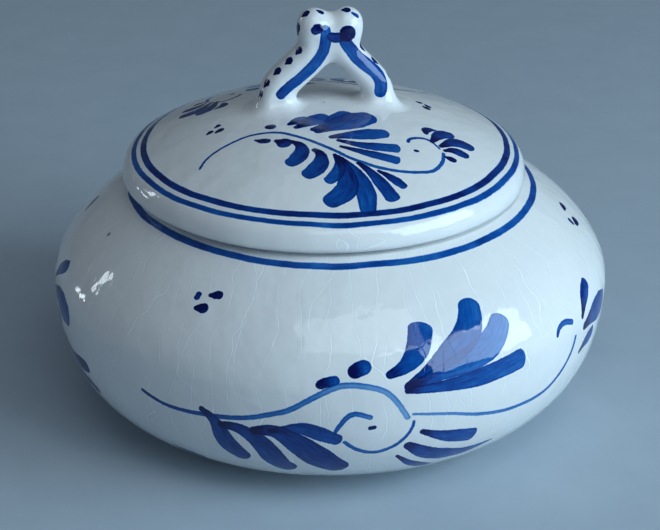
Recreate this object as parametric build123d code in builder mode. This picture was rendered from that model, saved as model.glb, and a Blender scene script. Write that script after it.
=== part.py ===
"""Squat lidded bowl in glazed earthenware, with an arched two-strap handle on its lid.

The bowl stands on a turned foot ring and closes in to a narrower mouth.  The lid rests on the
flat land round the mouth, and a locating ring under it drops into the mouth with play.
Sizes are in millimetres, +Z is up, and the origin is under the middle of the foot.
"""
from build123d import *
from math import cos, radians, sin, sqrt
import os

os.makedirs("parts", exist_ok=True)

# ------------------------------------------------------------------ bowl
belly_radius = 75.0       # outside, at the widest height
belly_height = 38.0       # height of the widest point above the table
seat_height = 64.0        # height of the flat land that the lid rests on
mouth_radius = 46.5       # clear radius of the mouth
land_width = 4.8          # width of the flat land round the mouth
bowl_wall = 4.5           # thickness of the thrown wall
floor_thickness = 6.0     # thickness of the bowl's floor
throat_depth = 5.0        # straight part of the mouth under the land
shoulder_angle = 28.0     # slope of the shoulder where it meets the land
mouth_round = 1.2         # rounding of the mouth's two lips

# ------------------------------------------------------------------ foot
foot_radius = 45.0        # outside radius of the foot ring
foot_width = 6.5          # width of the ring that touches the table
foot_height = 3.5         # how far the ring lifts the bowl
foot_round = 1.0          # rounding of the ring's edges

# ------------------------------------------------------------------ lid
lid_overhang = 2.6        # how far the rolled rim stands out past the land
rim_height = 8.2          # from the seat up to where the roll meets the dome
rim_inset = 2.8           # how far in from the rim the dome begins
crown_rise = 21.0         # from the seat up to the top of the dome
lid_wall = 4.2            # thickness of the dome
seat_play = 0.8           # radial play of the locating ring in the mouth
ring_width = 3.4          # thickness of the locating ring
ring_depth = 5.0          # how far the locating ring drops below the seat
ring_round = 1.0          # rounding of the locating ring's lower edges

# ------------------------------------------------------------------ handle
handle_turn = 8.0         # degrees that the handle is turned about +Z
handle_back = 2.0         # how far behind the lid's middle it is set
foot_spread = 13.2        # from the middle to each strap's foot
strap_width = 7.8         # across each strap, seen from the front
strap_depth = 8.2         # each strap from front to back
strap_round = 3.2         # rounding of the strap's four corners
strap_rise = 3.6          # straight part of each strap above the crown
arch_rise = 13.6          # from the crown up to where the straps meet
neck_rise = 16.8          # from the crown up to the seat of the two knobs
foot_bend = 10.0          # bend radius at the strap's outer corner
neck_bend = 7.0           # bend radius where the strap turns up into the neck
knob_radius = 4.4         # half the width of a knob
knob_half_height = 5.2    # half the height of a knob
knob_lift = 3.4           # from a knob's flat seat up to its middle
knob_press = 0.2          # how far each knob is pressed flat against the other

# ------------------------------------------------------------------ worked out
land_radius = mouth_radius + land_width
lid_radius = land_radius + lid_overhang
crown_height = seat_height + crown_rise
rim_top = seat_height + rim_height
dome_radius = lid_radius - rim_inset
ring_radius = mouth_radius - seat_play
hollow_radius = ring_radius - ring_width


def dome_height(radius, drop=0.0):
    """Height of the lid's spherical dome at a radius, or of the same dome moved down."""
    dome_rise = crown_height - rim_top
    sphere = (dome_radius ** 2 + dome_rise ** 2) / (2 * dome_rise)
    return crown_height - drop - sphere + sqrt(sphere ** 2 - radius ** 2)


def bowl_side(bottom_radius, bottom_height, widest, top_radius, top_height):
    """Draw one side of the bowl: a full lower curve, then a shoulder that closes in."""
    middle = (widest, belly_height)
    lower_reach = 0.56
    shoulder_reach = 0.36
    slope = radians(shoulder_angle)
    lip_reach = 0.56 * (widest - top_radius)
    Bezier(
        (bottom_radius, bottom_height),
        (bottom_radius + lower_reach * (widest - bottom_radius), bottom_height),
        (widest, belly_height - lower_reach * (belly_height - bottom_height)),
        middle,
    )
    Bezier(
        middle,
        (widest, belly_height + shoulder_reach * (top_height - belly_height)),
        (top_radius + lip_reach * cos(slope), top_height - lip_reach * sin(slope)),
        (top_radius, top_height),
    )


# ------------------------------------------------------------------ bowl_body
throat_height = seat_height - throat_depth
floor_top = foot_height + floor_thickness

with BuildPart() as bowl_body:
    with BuildSketch(Plane.XZ):
        with BuildLine():
            Line((0, foot_height), (foot_radius, foot_height))
            bowl_side(foot_radius, foot_height, belly_radius, land_radius, seat_height)
            Polyline((land_radius, seat_height), (0, seat_height), (0, foot_height))
        make_face()
        with BuildLine():
            cavity_floor = foot_radius - foot_width / 2
            Line((0, floor_top), (cavity_floor, floor_top))
            bowl_side(cavity_floor, floor_top, belly_radius - bowl_wall, mouth_radius, throat_height)
            Polyline((mouth_radius, throat_height), (mouth_radius, seat_height),
                     (0, seat_height), (0, floor_top))
        make_face(mode=Mode.SUBTRACT)
    revolve(axis=Axis.Z)
    lips = bowl_body.faces().filter_by(Axis.Z).sort_by(Axis.Z)[-1].edges()
    fillet(lips, radius=mouth_round)

bowl_body.part.label = "bowl_body"
export_step(bowl_body.part, "parts/bowl_body.step")

# ------------------------------------------------------------------ foot_ring
with BuildPart() as foot_ring:
    with BuildSketch():
        Circle(foot_radius)
        Circle(foot_radius - foot_width, mode=Mode.SUBTRACT)
    extrude(amount=foot_height)
    fillet(foot_ring.edges().group_by(Axis.Z)[0], radius=foot_round)

foot_ring.part.label = "foot_ring"
export_step(foot_ring.part, "parts/foot_ring.step")

# ------------------------------------------------------------------ lid_dome
rim_widest = seat_height + rim_height / 3
rim_foot = land_radius + 1.0

with BuildPart() as lid_dome:
    with BuildSketch(Plane.XZ):
        with BuildLine():
            half_way = dome_radius / 2
            ThreePointArc((0, crown_height), (half_way, dome_height(half_way)), (dome_radius, rim_top))
            Spline((dome_radius, rim_top), (lid_radius, rim_widest), (rim_foot, seat_height),
                   tangents=((1, -0.52), (-1, -0.25)))
            Line((rim_foot, seat_height), (0, seat_height))
            Line((0, seat_height), (0, crown_height))
        make_face()
        with BuildLine():
            half_way = hollow_radius / 2
            hollow_top = dome_height(hollow_radius, lid_wall)
            Polyline((0, seat_height), (hollow_radius, seat_height), (hollow_radius, hollow_top))
            ThreePointArc((hollow_radius, hollow_top), (half_way, dome_height(half_way, lid_wall)),
                          (0, dome_height(0, lid_wall)))
            Line((0, dome_height(0, lid_wall)), (0, seat_height))
        make_face(mode=Mode.SUBTRACT)
    revolve(axis=Axis.Z)

lid_dome.part.label = "lid_dome"
export_step(lid_dome.part, "parts/lid_dome.step")

# ------------------------------------------------------------------ lid_flange
with BuildPart() as lid_flange:
    with BuildSketch(Plane.XY.offset(seat_height - ring_depth)):
        Circle(ring_radius)
        Circle(hollow_radius, mode=Mode.SUBTRACT)
    extrude(amount=ring_depth)
    fillet(lid_flange.edges().group_by(Axis.Z)[0], radius=ring_round)

lid_flange.part.label = "lid_flange"
export_step(lid_flange.part, "parts/lid_flange.step")

# ------------------------------------------------------------------ handle straps and knobs
turn = radians(handle_turn)
handle_front = Plane(
    origin=(0, handle_back, 0),
    x_dir=(cos(turn), sin(turn), 0),
    z_dir=(sin(turn), -cos(turn), 0),
)
neck_height = crown_height + neck_rise
knob_middle = neck_height + knob_lift
strap_start = dome_height(foot_spread + strap_width / 2) - lid_wall / 2
strap_route = [
    (foot_spread, strap_start),
    (foot_spread, crown_height + strap_rise),
    (strap_width / 2, crown_height + arch_rise),
    (strap_width / 2, neck_height),
]

for side, hand in ((-1, "left"), (1, "right")):
    outward = handle_front.x_dir * side
    middle_plane = Plane(origin=handle_front.origin, x_dir=(0, 0, 1), z_dir=outward)

    with BuildPart() as strap:
        with BuildLine(handle_front) as route:
            FilletPolyline(*[(side * x, z) for x, z in strap_route], radius=[foot_bend, neck_bend])
        with BuildSketch(Plane(origin=route.line @ 0, x_dir=handle_front.x_dir, z_dir=(0, 0, 1))):
            RectangleRounded(strap_width, strap_depth, strap_round)
        sweep()
        add(lid_dome.part, mode=Mode.SUBTRACT)
    strap.part.label = f"handle_strap_{hand}"
    export_step(strap.part, f"parts/handle_strap_{hand}.step")

    knob_out = side * (knob_radius - knob_press)
    with BuildPart() as knob:
        with BuildSketch(handle_front):
            with Locations((knob_out, knob_middle)):
                Ellipse(knob_radius, knob_half_height)
            with Locations((knob_out - knob_radius, knob_middle)):
                Rectangle(2 * knob_radius, 3 * knob_half_height, mode=Mode.SUBTRACT)
        knob_line = Axis(handle_front.from_local_coords((knob_out, 0, 0)), (0, 0, 1))
        revolve(axis=knob_line)
        split(bisect_by=Plane.XY.offset(neck_height), keep=Keep.TOP)
        split(bisect_by=middle_plane, keep=Keep.TOP)
    knob.part.label = f"handle_knob_{hand}"
    export_step(knob.part, f"parts/handle_knob_{hand}.step")

print("height over the knobs", round(knob_middle + knob_half_height, 2))
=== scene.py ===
# %% [markdown]
# # A lidded bowl of white glazed earthenware, painted in cobalt blue
#
# The real object is a squat round bowl with a domed lid and a forked handle, cast or
# thrown in clay, dipped in white glaze and painted by hand. This lesson builds it around
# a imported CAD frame, which already holds every size. Blender adds what a measured solid
# lacks: the potter's slight unevenness, the melted joints of the handle, the brushwork
# and the crackled glaze. The outer sizes stay the frame's own. Only two shapes part from
# it a little: the lower belly is fuller, and the left strap of the handle is wider.

# %% Load the frame
import math

import bpy
import numpy as np
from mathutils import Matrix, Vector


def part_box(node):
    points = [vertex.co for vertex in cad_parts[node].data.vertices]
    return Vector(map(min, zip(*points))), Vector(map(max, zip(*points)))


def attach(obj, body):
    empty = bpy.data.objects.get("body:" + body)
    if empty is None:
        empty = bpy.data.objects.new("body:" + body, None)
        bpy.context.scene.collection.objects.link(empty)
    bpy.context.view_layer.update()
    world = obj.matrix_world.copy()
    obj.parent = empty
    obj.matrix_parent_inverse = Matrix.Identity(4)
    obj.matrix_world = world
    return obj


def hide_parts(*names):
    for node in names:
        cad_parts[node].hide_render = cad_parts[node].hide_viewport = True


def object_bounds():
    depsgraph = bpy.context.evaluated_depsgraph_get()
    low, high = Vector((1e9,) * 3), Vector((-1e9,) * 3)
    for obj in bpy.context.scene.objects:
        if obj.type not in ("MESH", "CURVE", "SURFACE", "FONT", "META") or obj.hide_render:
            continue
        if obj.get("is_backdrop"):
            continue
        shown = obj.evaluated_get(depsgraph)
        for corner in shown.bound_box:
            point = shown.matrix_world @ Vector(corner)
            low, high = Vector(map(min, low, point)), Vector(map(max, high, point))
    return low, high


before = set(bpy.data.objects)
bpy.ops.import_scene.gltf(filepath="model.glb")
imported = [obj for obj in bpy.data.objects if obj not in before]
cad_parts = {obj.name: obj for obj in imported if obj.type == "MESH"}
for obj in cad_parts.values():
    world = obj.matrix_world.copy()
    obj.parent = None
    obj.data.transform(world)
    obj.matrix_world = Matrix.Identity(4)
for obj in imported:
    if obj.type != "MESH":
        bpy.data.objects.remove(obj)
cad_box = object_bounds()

import openvdb
from mathutils import Vector
from mathutils.bvhtree import BVHTree

MM = 0.001               # Blender counts in metres, a potter thinks in millimetres
print("nodes:", sorted(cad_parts))


# %% [markdown]
# ## The sizes
#
# Every size is read from the CAD nodes' own boxes, so the looks follow the frame if a
# dimension is changed there. The few numbers that a box cannot tell, such as how thick
# the walls are, are named here once. All of them are millimetres.

# %% Read the sizes from the frame
def node_box(node):
    low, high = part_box(node)
    return np.array(low) / MM, np.array(high) / MM


bowl_low, bowl_high = node_box("bowl_body")
_, foot_high = node_box("foot_ring")
_, dome_high = node_box("lid_dome")
ring_low, ring_high = node_box("lid_flange")

belly_radius = bowl_high[0]
foot_top = bowl_low[2]           # the foot ring carries the bowl this high
seat = bowl_high[2]              # the lid sits at this height
foot_radius = foot_high[0]
lid_radius = dome_high[0]
crown = dome_high[2]
ring_radius = ring_high[0]
ring_foot = ring_low[2]

belly_height = foot_top + 34.5       # the widest line
land_outer = belly_radius - 23.7     # the flat seat runs between these two radii
mouth_radius = ring_radius + 0.8
wall = 4.5
floor = foot_top + 6.0
throat = ring_foot                   # the mouth is straight down to here
lip_round = 1.2
shoulder = math.radians(28)          # the slope at which the belly meets the seat
foot_joint = foot_top + 0.6          # the foot ring reaches a little into the bowl
dome_radius = lid_radius - 2.8
rim_top = seat + 8.2
lid_wall = 4.2
hollow_radius = ring_radius - 3.4
print(f"belly {belly_radius:.1f}, seat {seat:.1f}, crown {crown:.1f}, lid {lid_radius:.1f} mm")


# %% [markdown]
# ## Drawing the sections
#
# Bowl, foot and lid are all turned shapes, so each is one section swung round the
# middle. A section is a list of (radius, height) points in millimetres. The curves are
# the same ones a designer pulls by two handles, sampled at even steps so that the mesh
# has even faces.

# %% Section helpers
def bezier(a, b, c, d, count=60):
    t = np.linspace(0, 1, count)[:, None]
    a, b, c, d = (np.array(p, float) for p in (a, b, c, d))
    return a * (1-t)**3 + 3 * b * t * (1-t)**2 + 3 * c * t**2 * (1-t) + d * t**3


def run_along(line):
    """How far along the line each of its points is."""
    return np.r_[0, np.cumsum(np.linalg.norm(np.diff(line, axis=0), axis=1))]


def even(points, step):
    """The same line with its points an even step apart."""
    points = np.array(points, float)
    run = run_along(points)
    at = np.linspace(0, run[-1], max(2, int(round(run[-1] / step)) + 1))
    return np.column_stack([np.interp(at, run, points[:, i]) for i in range(points.shape[1])])


def rounded(before, corner, after, radius, count=6):
    """A corner of a section, rounded by an arc."""
    before, corner, after = (np.array(p, float) for p in (before, corner, after))
    u = (before - corner) / np.linalg.norm(before - corner)
    w = (after - corner) / np.linalg.norm(after - corner)
    half = math.acos(np.clip(u @ w, -1, 1)) / 2
    middle = corner + (u + w) / np.linalg.norm(u + w) * radius / math.sin(half)
    start = corner + u * radius / math.tan(half)
    end = corner + w * radius / math.tan(half)
    a0, a1 = (math.atan2(*(p - middle)[::-1]) for p in (start, end))
    turn = (a1 - a0 + math.pi) % (2 * math.pi) - math.pi
    return np.array([middle + radius * np.array([math.cos(a), math.sin(a)])
                     for a in a0 + turn * np.linspace(0, 1, count)])


def join(*runs):
    """Runs of points end to end, without doubles."""
    line = [np.array(runs[0][0], float)]
    for run in runs:
        for p in np.array(run, float):
            if np.linalg.norm(p - line[-1]) > 0.02:
                line.append(p)
    return np.array(line)


LOWER_PULL = 0.64        # how full the curve is below the widest line
UPPER_PULL = 0.36        # and above it
SHOULDER_REACH = 0.56    # how far the slope at the top is carried outwards


def belly(base, top, widest, height):
    """The full curve of a squat pot, from its base out to its widest and in to its top."""
    reach = SHOULDER_REACH * (widest - top[0])
    low = bezier(base, (base[0] + LOWER_PULL * (widest - base[0]), base[1]),
                 (widest, height - LOWER_PULL * (height - base[1])), (widest, height))
    high = bezier((widest, height), (widest, height + UPPER_PULL * (top[1] - height)),
                  (top[0] + reach * math.cos(shoulder), top[1] - reach * math.sin(shoulder)), top)
    return np.vstack([low, high[1:]])


# %% [markdown]
# ## The bowl's section
#
# It starts in the middle underneath, runs out to the foot, up the belly, over the flat
# seat for the lid, down the straight throat and along the inside to the middle of the
# floor. One closed skin, as in clay.

# %% The bowl's section
outside = even(belly((foot_radius, foot_top), (land_outer, seat),
                     belly_radius, belly_height), 1.15)
inside = even(belly((foot_radius - 3.25, floor), (mouth_radius, throat),
                    belly_radius - wall, belly_height), 2.0)[::-1]
lip_out = rounded(outside[-4], (land_outer, seat), (mouth_radius, seat), lip_round)
lip_in = rounded((land_outer, seat), (mouth_radius, seat), (mouth_radius, throat), lip_round)
under = even([(0, foot_top), (foot_radius, foot_top)], 4.5)
inner_floor = even([(inside[-1][0], floor), (0, floor)], 4.0)
clear = np.linalg.norm(outside - (land_outer, seat), axis=1) > lip_round
bowl_section = join(under, outside[clear], lip_out, lip_in,
                    even([lip_in[-1], (mouth_radius, throat)], 1.2), inside, inner_floor)
print("bowl section:", len(bowl_section), "points")


# %% [markdown]
# ## The lid's section
#
# A shallow cap of a sphere, a soft rolled rim that stands out over the seat, a flat
# underside, a locating ring that drops into the mouth, and a hollow underneath so that
# the wall is even and does not crack in the kiln.

# %% The lid's section
rise = crown - rim_top
cap_radius = (dome_radius**2 + rise**2) / (2 * rise)
cap_middle = crown - cap_radius


def dome_height(x, y=0.0, lower=0.0):
    return cap_middle + np.sqrt((cap_radius - lower)**2 - x**2 - y**2)


across = np.linspace(0, dome_radius, 200)
dome_line = even(np.column_stack([across, dome_height(across)]), 0.95)
widest_rim = (lid_radius, seat + 2.73)
low_rim = (lid_radius - 2.6, seat + 1.2)
rim_line = even(join(
    bezier((dome_radius, rim_top), (dome_radius + 1.55, rim_top - 0.8),
           (lid_radius, seat + 5.4), widest_rim),
    bezier(widest_rim, (lid_radius, seat + 1.9), (lid_radius - 1.1, seat + 1.1), low_rim)), 0.6)
ring_corner = [(ring_radius, ring_foot + 1.6), (ring_radius, ring_foot),
               (hollow_radius, ring_foot), (hollow_radius, ring_foot + 1.6)]
hollow_top = dome_height(hollow_radius, lower=lid_wall)
inner_across = np.linspace(hollow_radius, 0, 80)
lid_section = join(
    dome_line, rim_line, even([low_rim, (land_outer - 3, seat), (ring_radius, seat)], 1.3),
    even([(ring_radius, seat), ring_corner[0]], 1.2),
    rounded(*ring_corner[:3], 1.0), rounded(*ring_corner[1:], 1.0),
    even([ring_corner[3], (hollow_radius, hollow_top - 2.0)], 1.6),
    rounded((hollow_radius, hollow_top - 4), (hollow_radius, hollow_top),
            (hollow_radius - 4, dome_height(hollow_radius - 4, lower=lid_wall)), 1.6),
    even(np.column_stack([inner_across, dome_height(inner_across, lower=lid_wall)]), 2.0)[2:])
print("lid section:", len(lid_section), "points, cap radius", round(cap_radius, 1))


# %% [markdown]
# ## The foot's section
#
# A turned ring under the bowl. Its standing edge is wiped free of glaze before firing,
# so that the pot does not stick to the kiln shelf. Its section closes on itself.

# %% The foot's section
foot_inner = foot_radius - 6.5
foot_section = join(
    [(foot_radius, foot_joint)], [(foot_radius, foot_top * 0.5)],
    rounded((foot_radius, foot_top), (foot_radius - 0.3, 0), (foot_inner, 0), 1.2),
    even([(foot_radius - 2, 0), (foot_inner + 2, 0)], 1.3),
    rounded((foot_radius, 0), (foot_inner + 0.3, 0), (foot_inner, foot_top), 1.2),
    [(foot_inner, foot_top * 0.5)], [(foot_inner, foot_joint)],
    even([(foot_inner, foot_joint), (foot_radius, foot_joint)], 1.6))
print("foot section:", len(foot_section), "points")


# %% [markdown]
# ## Writing nodes as sums
#
# Node trees are long to build by hand. This small class wraps a socket, so that adding
# or multiplying two of them adds the Math node that does it, and one method makes every
# other node. The same class serves the wheel's tree and the materials.

# %% Node helpers
OBJECT_PLACE = 3         # which output of the coordinates node is the place on the object


class Socket:
    """One output of a node, which can be added, multiplied and compared."""

    def __init__(self, build, output):
        self.build, self.output = build, output

    def math(self, operation, *others):
        return self.build.math(operation, self, *others)

    def __add__(self, other): return self.math("ADD", other)
    def __radd__(self, other): return self.build.math("ADD", other, self)
    def __sub__(self, other): return self.math("SUBTRACT", other)
    def __rsub__(self, other): return self.build.math("SUBTRACT", other, self)
    def __mul__(self, other): return self.math("MULTIPLY", other)
    def __rmul__(self, other): return self.build.math("MULTIPLY", other, self)
    def __truediv__(self, other): return self.math("DIVIDE", other)
    def __gt__(self, other): return self.math("GREATER_THAN", other)
    def most(self, other): return self.math("MAXIMUM", other)

    def step(self, start, end, low=0.0, high=1.0):
        """A soft step: low before start, high after end."""
        return self.build.node(
            "ShaderNodeMapRange", dict(interpolation_type="SMOOTHSTEP"),
            {"Value": self, "From Min": start, "From Max": end, "To Min": low, "To Max": high})

    def vector(self, operation, *values, out=0):
        return self.build.node("ShaderNodeVectorMath", dict(operation=operation),
                               dict(enumerate((self, *values))), out)

    def parts(self):
        return [self.build.node("ShaderNodeSeparateXYZ", {}, {0: self}, i) for i in range(3)]


class Build:
    """Adds nodes to one tree."""

    def __init__(self, tree):
        self.tree = tree

    @classmethod
    def material(cls, name):
        made = bpy.data.materials.new(name)
        made.use_nodes = True
        made.node_tree.nodes.clear()
        return made, cls(made.node_tree)

    def node(self, kind, settings=None, inputs=None, out=0):
        made = self.tree.nodes.new(kind)
        for name, value in (settings or {}).items():
            if name == "stops":
                ramp = made.color_ramp.elements
                while len(ramp) < len(value):
                    ramp.new(1.0)
                for element, (place, colour) in zip(ramp, value):
                    element.position, element.color = place, (*colour, 1.0)
            else:
                setattr(made, name, value)
        for name, value in (inputs or {}).items():
            if isinstance(value, Socket):
                self.tree.links.new(value.output, made.inputs[name])
            else:
                made.inputs[name].default_value = value
        return Socket(self, made.outputs[out])

    def math(self, operation, *values):
        return self.node("ShaderNodeMath", dict(operation=operation), dict(enumerate(values)))

    def xyz(self, x, y, z):
        return self.node("ShaderNodeCombineXYZ", {}, {0: x, 1: y, 2: z})

    def noise(self, where, scale, detail=2.0, roughness=0.5):
        return self.node("ShaderNodeTexNoise", {}, {
            "Vector": where, "Scale": scale, "Detail": detail, "Roughness": roughness})

    def ramp(self, share, stops):
        return self.node("ShaderNodeValToRGB", dict(stops=stops), {"Fac": share})

    def mix(self, share, start, end, how="MIX"):
        return self.node("ShaderNodeMix", dict(data_type="RGBA", blend_type=how),
                         {"Factor": share, 6: start, 7: end}, 2)

    def millimetres(self):
        """The place on the object, in millimetres."""
        place = self.node("ShaderNodeTexCoord", {}, {}, OBJECT_PLACE).vector("SCALE")
        place.output.node.inputs["Scale"].default_value = 1 / MM
        return place

    def surface(self, **inputs):
        """A Principled shader as the material's surface."""
        named = {name.replace("_", " "): value for name, value in inputs.items()}
        shader = self.node("ShaderNodeBsdfPrincipled", {}, named)
        end = self.tree.nodes.new("ShaderNodeOutputMaterial")
        self.tree.links.new(shader.output, end.inputs["Surface"])


# %% [markdown]
# ## The potter's wheel
#
# Geometry Nodes turn a section into a pot: a plain grid has one column for every step
# round and one row for every point of the section, each grid point looks its row up, and
# is swung out to its place. A little noise pushes the clay inwards, because hand work is
# never quite round, and it fades where two pieces must fit. Noise only ever takes away,
# so the pot stays inside its measured size. The same wheel makes bowl, lid and foot.

# %% The wheel
def make_wheel():
    tree = bpy.data.node_groups.new("potters wheel", "GeometryNodeTree")
    face = tree.interface
    face.new_socket("Section", in_out="INPUT", socket_type="NodeSocketGeometry")
    for name, kind in (("Columns", "Int"), ("Uneven Depth", "Float"), ("Uneven Scale", "Float"),
                       ("Squareness", "Float"), ("Lean", "Float"), ("Seed", "Float"),
                       ("Glaze", "Material")):
        face.new_socket(name, in_out="INPUT", socket_type=f"NodeSocket{kind}")
    face.new_socket("Pot", in_out="OUTPUT", socket_type="NodeSocketGeometry")
    b = Build(tree)
    given = tree.nodes.new("NodeGroupInput")
    section, columns, depth, scale, square, lean, seed, glaze = (
        Socket(b, given.outputs[i]) for i in range(8))
    rows = b.node("GeometryNodeAttributeDomainSize", {}, {"Geometry": section})
    grid = b.node("GeometryNodeMeshGrid", {}, {
        "Size X": 1.0, "Size Y": 1.0, "Vertices X": columns + 1, "Vertices Y": rows})
    wheel_map = Socket(b, grid.output.node.outputs["UV Map"])
    x, y, _ = b.node("GeometryNodeInputPosition").parts()
    row = ((y + 0.5) * (rows - 1)).math("ROUND")

    def looked_up(value, kind="FLOAT"):
        return b.node("GeometryNodeSampleIndex", dict(data_type=kind, domain="POINT"),
                      {"Geometry": section, "Value": value, "Index": row})

    radius, _, height = looked_up(b.node("GeometryNodeInputPosition"), "FLOAT_VECTOR").parts()
    soft, leaning = (looked_up(b.node("GeometryNodeInputNamedAttribute",
                                      dict(data_type="FLOAT"), {"Name": name}))
                     for name in ("soft", "leaning"))
    angle = (x + 0.5) * (2 * math.pi)
    cosine, sine = angle.math("COSINE"), angle.math("SINE")
    plain = b.xyz(radius * cosine, radius * sine, height + seed)
    dent = b.noise(plain, scale, 1.0) * depth * soft
    four = (angle * 4.0 + 0.9).math("COSINE")
    pulled = radius - dent - (0.5 - 0.5 * four) * square * leaning
    place = b.xyz(pulled * cosine + lean * leaning, pulled * sine, height)
    pot = b.node("GeometryNodeSetPosition", {}, {"Geometry": grid, "Position": place})
    pot = b.node("GeometryNodeStoreNamedAttribute", dict(data_type="FLOAT2", domain="CORNER"),
                 {"Geometry": pot, "Name": "wheel", "Value": wheel_map})
    pot = b.node("GeometryNodeMergeByDistance", {}, {"Geometry": pot, "Distance": 2e-6})
    pot = b.node("GeometryNodeSetShadeSmooth", {}, {"Geometry": pot})
    pot = b.node("GeometryNodeRealizeInstances", {}, {"Geometry": pot})
    pot = b.node("GeometryNodeSetMaterial", {}, {"Geometry": pot, "Material": glaze})
    result = tree.nodes.new("NodeGroupOutput")
    tree.links.new(pot.output, result.inputs["Pot"])
    return tree


wheel = make_wheel()
print("the wheel has", len(wheel.nodes), "nodes")


# %% [markdown]
# ## Turning a piece
#
# The section goes in as a line of points with two marks on each: how soft the clay is
# there, and how far it follows the lean of the lid. The result is made a plain mesh, and
# its faces are turned to look outwards if the section ran the other way.

# %% Turn a section on the wheel
MILLILITRE = 1e-6        # in cubic metres


def new_object(name, data):
    made = bpy.data.objects.new(name, data)
    bpy.context.scene.collection.objects.link(made)
    return made


def all_of(items, field, width=1, kind=float):
    """One field of many mesh elements as rows of an array."""
    values = np.empty(len(items) * width, kind)
    items.foreach_get(field, values)
    return values.reshape(-1, width) if width > 1 else values


def face_outwards(mesh):
    """Turns the faces outwards and returns how much clay the skin holds."""
    mesh.calc_loop_triangles()
    corners = all_of(mesh.loop_triangles, "vertices", 3, int)
    a, b, c = all_of(mesh.vertices, "co", 3)[corners].transpose(1, 0, 2)
    volume = np.einsum("ij,ij->i", a, np.cross(b, c)).sum() / 6
    if volume < 0:
        mesh.flip_normals()
    return abs(volume) / MILLILITRE


def turn(name, section, columns, soft=0.0, leaning=0.0, **sizes):
    line = bpy.data.meshes.new(name + "_section")
    line.from_pydata([(r * MM, 0, z * MM) for r, z in section], [], [])
    for mark, values in (("soft", soft), ("leaning", leaning)):
        line.attributes.new(mark, "FLOAT", "POINT").data.foreach_set(
            "value", np.zeros(len(section)) + values)
    source = new_object(name + "_source", line)
    modifier = source.modifiers.new("wheel", "NODES")
    modifier.node_group = wheel
    values = {"Columns": columns, "Glaze": blank, "Uneven Depth": 0.0, "Uneven Scale": 30.0,
              "Squareness": 0.0, "Lean": 0.0, "Seed": 0.0, **sizes}
    for item in wheel.interface.items_tree:
        if item.in_out == "INPUT" and item.name in values:
            modifier[item.identifier] = values[item.name]
    seen = source.evaluated_get(bpy.context.evaluated_depsgraph_get())
    mesh = bpy.data.meshes.new_from_object(seen)
    mesh.name = name
    source.modifiers.clear()
    bpy.data.objects.remove(source)
    clay = face_outwards(mesh)
    print(f"{name}: {len(mesh.polygons)} faces, {clay:.0f} ml of clay")
    return new_object(name, mesh)


# %% [markdown]
# ## Turning the three pieces
#
# The bowl is softest on its belly and firm at the seat and the foot. The lid is firm
# where it meets the mouth and at its crown, where the handle stands, and its upper part
# leans nearly two millimetres to one side, as a lid does that has moved in the kiln.

# %% Turn bowl, lid and foot
def fade(value, start, end):
    t = np.clip((np.asarray(value, float) - start) / (end - start), 0, 1)
    return t * t * (3 - 2 * t)


LEAN = -1.65             # the top of the lid stands this far to the right, so to the left
blank = bpy.data.materials.new("unfinished")

r, z = bowl_section.T
bowl = turn("bowl_shell", bowl_section, 384,
            soft=fade(r, 46, 54) * (1 - fade(z, seat - 9, seat - 1.5)),
            **{"Uneven Depth": 0.55 * MM, "Uneven Scale": 26.0})

r, z = lid_section.T
on_top = np.arange(len(r)) < len(dome_line) + len(rim_line)
lid = turn("lid_shell", lid_section, 360, soft=on_top * fade(r, 22, 44),
           leaning=on_top * fade(z, seat, seat + 2.5),
           **{"Uneven Depth": 0.5 * MM, "Uneven Scale": 34.0, "Seed": 0.31,
              "Squareness": 0.35 * MM, "Lean": LEAN * MM})

foot = turn("foot_turned", foot_section, 192)


# %% [markdown]
# ## The handle
#
# Two straps of clay lean together like an A and end in two small knobs. They were
# pressed on and sponged smooth, so every joint is a soft fillet, which no sum of sharp
# solids has. A distance field is the natural tool: each part is a formula that says how
# far a point is from it, and a soft minimum melts two of them together. The field is
# sampled on a fine grid and meshed at distance zero.

# %% Read the handle's place from the frame
knob_boxes = [node_box(f"handle_knob_{side}") for side in ("left", "right")]
knob_middles = [(low + high) / 2 for low, high in knob_boxes]
knob_size = (knob_boxes[1][1] - knob_boxes[1][0]) / 2
between = knob_middles[1] - knob_middles[0]
handle_x = between / np.linalg.norm(between)
handle_y = np.array([-handle_x[1], handle_x[0], 0.0])
handle_middle = (knob_middles[0] + knob_middles[1]) / 2
knob_height = handle_middle[2]
handle_middle[2] = 0.0
knob_apart = np.linalg.norm(between) / 2
strap_width, strap_depth, strap_round = 7.8, 8.2, 3.2
foot_spread = 13.2       # from the middle to where the right strap stands
left_further, left_wider = 1.7, 1.1
print(f"knobs {knob_apart * 2:.1f} mm apart")


# %% The handle's distance field
def blend_in(a, b, melt):
    h = np.maximum(melt - np.abs(a - b), 0) / melt
    return np.minimum(a, b) - h * h * melt / 4


VOXEL = 0.34
FAR = 1e3
box_low = np.array([-24.0, -10.5, 79.0])
box_count = (np.array([48.0, 21.0, 34.0]) / VOXEL).astype(int)
gx, gy, gz = np.meshgrid(*[box_low[i] + VOXEL * np.arange(box_count[i]) for i in range(3)],
                         indexing="ij")
neck_x = 3.9             # where each strap runs up into its knob


def strap_line(spread):
    """The middle line of a strap: up from the lid, inwards, and up into the knob."""
    corners = np.array([(spread, 80.5), (spread, 88.6), (neck_x, 98.6), (neck_x, 102.5)])
    return join([corners[0]], rounded(*corners[:3], 10.0, 9),
                rounded(*corners[1:], 7.0, 9), [corners[3]])


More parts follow.
